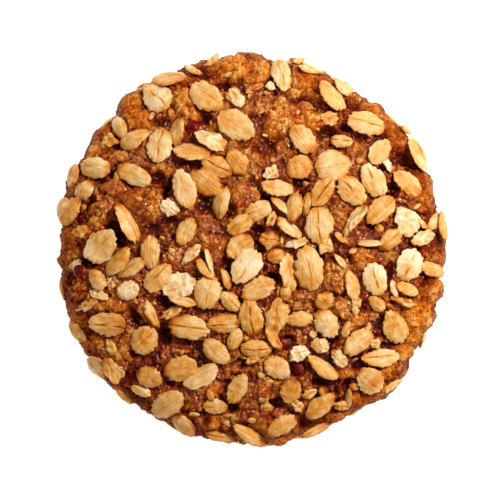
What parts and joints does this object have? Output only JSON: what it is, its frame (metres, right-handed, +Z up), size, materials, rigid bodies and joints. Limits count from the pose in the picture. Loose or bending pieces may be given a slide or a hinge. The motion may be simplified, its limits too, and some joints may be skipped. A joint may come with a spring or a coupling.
{
  "type": "oatmeal cookie",
  "caption": "Thick round baked oatmeal cookie with a cobbled, domed top, whole rolled oats baked into it, a lobed edge and a flat foot.",
  "frame": {"origin": "middle of the flat foot, on the surface that the cookie rests on", "axes": "+Z up through the domed top; +X to the right and +Y to the top of the cookie as seen from above"},
  "size_m": [0.0962, 0.0972, 0.0203],
  "materials": {
    "baked_crumb": "golden to deep brown baked crumb, slightly glazed, with pale rolled oats"
  },
  "bodies": {
    "root": {"cookie": "baked_crumb"}
  },
  "joints": []
}
